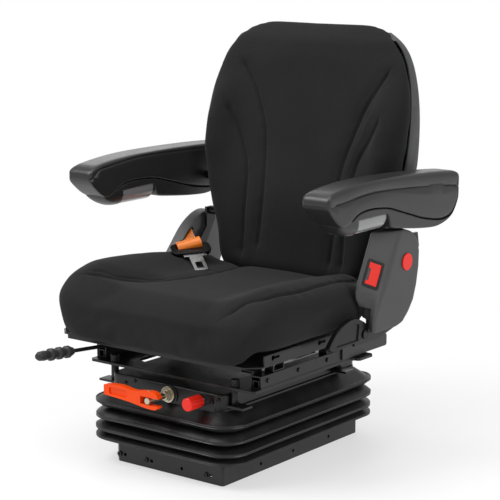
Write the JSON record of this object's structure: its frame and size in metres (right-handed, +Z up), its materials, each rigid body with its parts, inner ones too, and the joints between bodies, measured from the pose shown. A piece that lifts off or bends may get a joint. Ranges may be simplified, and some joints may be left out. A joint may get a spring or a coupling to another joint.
{
  "type": "forklift seat",
  "caption": "Sprung operator's seat for a lift truck, on a bellows-covered scissor suspension with slide rails, reclining back, folding armrests and a lap belt.",
  "frame": {"origin": "middle of the base tray's underside, on the truck's floor", "axes": "the seat faces -Y, +X points to the occupant's left side, +Z points up"},
  "size_m": [0.586, 0.6313, 0.768],
  "materials": {
    "black_steel": "satin black paint",
    "zinc_steel": "zinc plated",
    "chromed_steel": "polished",
    "black_rubber": "matt",
    "black_fabric": "fine woven cover over foam",
    "dark_plastic": "fine grain",
    "grey_plastic": "fine grain",
    "red_plastic": "glossy",
    "orange_plastic": "satin",
    "clear_grey_plastic": "translucent grey",
    "orange_webbing": "glossy woven belt",
    "white_nylon": "natural nylon"
  },
  "bodies": {
    "base": {"base_tray": "black_steel", "base_screws": "zinc_steel", "outer_pivot_pins": "zinc_steel", "buffer_pads": "black_steel", "damper_body": "black_steel", "bellows": "black_rubber"},
    "head": {"head_housing": "black_steel", "flange_nut": "zinc_steel", "knob_collar": "chromed_steel", "head_screws": "zinc_steel", "posts": "black_steel", "post_caps": "black_rubber", "adapter_plate": "black_steel", "lower_rails": "black_steel", "damper_rod": "chromed_steel", "rubber_buffers": "black_rubber", "inner_pivot_pins": "zinc_steel"},
    "outer_frame": {"outer_scissor": "black_steel", "outer_glides": "white_nylon", "centre_pins": "zinc_steel"},
    "inner_frame": {"inner_scissor": "black_steel", "inner_glides": "white_nylon"},
    "spring_nut": {"spring_yoke": "zinc_steel", "tension_springs": "zinc_steel"},
    "crank": {"crank_shaft": "zinc_steel", "crank_pin": "zinc_steel"},
    "lever": {"crank_lever": "orange_plastic"},
    "knob": {"height_knob": "red_plastic"},
    "slide": {"upper_rails": "black_steel", "rail_end_covers": "dark_plastic", "rail_screws": "zinc_steel", "seat_pan": "black_steel", "seat_cushion": "black_fabric", "recliner_plates": "black_steel", "recliner_shaft": "zinc_steel", "recline_lever_pin": "zinc_steel", "side_cover_right": "grey_plastic", "side_cover_left": "grey_plastic", "belt_reel": "dark_plastic", "belt_webbing": "orange_webbing", "belt_tongue": "zinc_steel", "tongue_cover": "dark_plastic", "buckle_housing": "dark_plastic", "cap_disc": "red_plastic"},
    "release": {"slide_lever_rod": "zinc_steel", "slide_lever_grip": "black_rubber"},
    "recliner_handle": {"recline_lever": "dark_plastic"},
    "button": {"buckle_button": "red_plastic"},
    "back": {"backrest_frame": "black_steel", "backrest_shell": "grey_plastic", "backrest_cushion": "black_fabric"},
    "armrest_r": {"armrest_pad_right": "dark_plastic", "armrest_shell_right": "dark_plastic", "armrest_housing_right": "dark_plastic"},
    "armrest_l": {"armrest_pad_left": "dark_plastic", "armrest_shell_left": "dark_plastic", "armrest_housing_left": "dark_plastic"},
    "roller_r": {"armrest_roller_right": "clear_grey_plastic"},
    "roller_l": {"armrest_roller_left": "clear_grey_plastic"}
  },
  "joints": [
    {"name": "suspension_travel", "type": "slide", "parent": "base", "child": "head", "axis": [0, 0, 1], "range_m": [-0.06, 0], "stiffness_N_per_m": 8000, "springref_m": 0.08, "deforming": ["bellows"]},
    {"name": "outer_scissor_turn", "type": "hinge", "parent": "base", "child": "outer_frame", "pos_m": [0, 0.134, 0.022], "axis": [1, 0, 0], "range_deg": [-1, 13.5]},
    {"name": "inner_scissor_turn", "type": "hinge", "parent": "head", "child": "inner_frame", "pos_m": [0, 0.134, 0.132], "axis": [1, 0, 0], "range_deg": [-13.5, 1]},
    {"name": "crank_turn", "type": "hinge", "parent": "head", "child": "crank", "pos_m": [0.01, 0, 0.1433], "axis": [0, -1, 0], "range_deg": [0, 2880]},
    {"name": "crank_fold", "type": "hinge", "parent": "crank", "child": "lever", "pos_m": [0.01, -0.253, 0.1433], "axis": [0, 0, 1], "range_deg": [0, 80]},
    {"name": "spring_nut_travel", "type": "slide", "parent": "head", "child": "spring_nut", "axis": [0, -1, 0], "range_m": [-0.0005, 0.0205], "deforming": ["tension_springs"]},
    {"name": "height_knob_turn", "type": "hinge", "parent": "head", "child": "knob", "pos_m": [0.0835, 0, 0.1455], "axis": [0, -1, 0], "range_deg": [-150, 150]},
    {"name": "seat_slide", "type": "slide", "parent": "head", "child": "slide", "axis": [0, 1, 0], "range_m": [-0.08, 0.08]},
    {"name": "slide_release", "type": "hinge", "parent": "slide", "child": "release", "pos_m": [0, -0.15, 0.197], "axis": [-1, 0, 0], "range_deg": [0, 6], "stiffness_Nm_per_rad": 3, "springref_deg": -5.73},
    {"name": "recline_lift", "type": "hinge", "parent": "slide", "child": "recliner_handle", "pos_m": [0.252, 0.03, 0.243], "axis": [-1, 0, 0], "range_deg": [0, 15], "stiffness_Nm_per_rad": 1, "springref_deg": -11.46},
    {"name": "buckle_press", "type": "slide", "parent": "slide", "child": "button", "axis": [-0.8355, 0.4926, -0.2434], "range_m": [0, 0.003], "stiffness_N_per_m": 300, "springref_m": -0.004},
    {"name": "recline", "type": "hinge", "parent": "slide", "child": "back", "pos_m": [0, 0.145, 0.25], "axis": [-1, 0, 0], "range_deg": [0, 15]},
    {"name": "armrest_lift_r", "type": "hinge", "parent": "back", "child": "armrest_r", "pos_m": [0.2647, 0.215, 0.456], "axis": [-1, 0, 0], "range_deg": [0, 80]},
    {"name": "armrest_lift_l", "type": "hinge", "parent": "back", "child": "armrest_l", "pos_m": [-0.2647, 0.215, 0.456], "axis": [-1, 0, 0], "range_deg": [0, 80]},
    {"name": "tilt_roller_r", "type": "hinge", "parent": "armrest_r", "child": "roller_r", "pos_m": [0.2647, 0, 0.452], "axis": [0, 1, 0], "range_deg": [-60, 60]},
    {"name": "tilt_roller_l", "type": "hinge", "parent": "armrest_l", "child": "roller_l", "pos_m": [-0.2647, 0, 0.452], "axis": [0, 1, 0], "range_deg": [-60, 60]}
  ],
  "couplings": [
    {"joint": "outer_scissor_turn", "follows": "suspension_travel", "rad_per_m": -3.595},
    {"joint": "inner_scissor_turn", "follows": "suspension_travel", "rad_per_m": 3.595},
    {"joint": "spring_nut_travel", "follows": "crank_turn", "m_per_rad": 0.00039789}
  ]
}
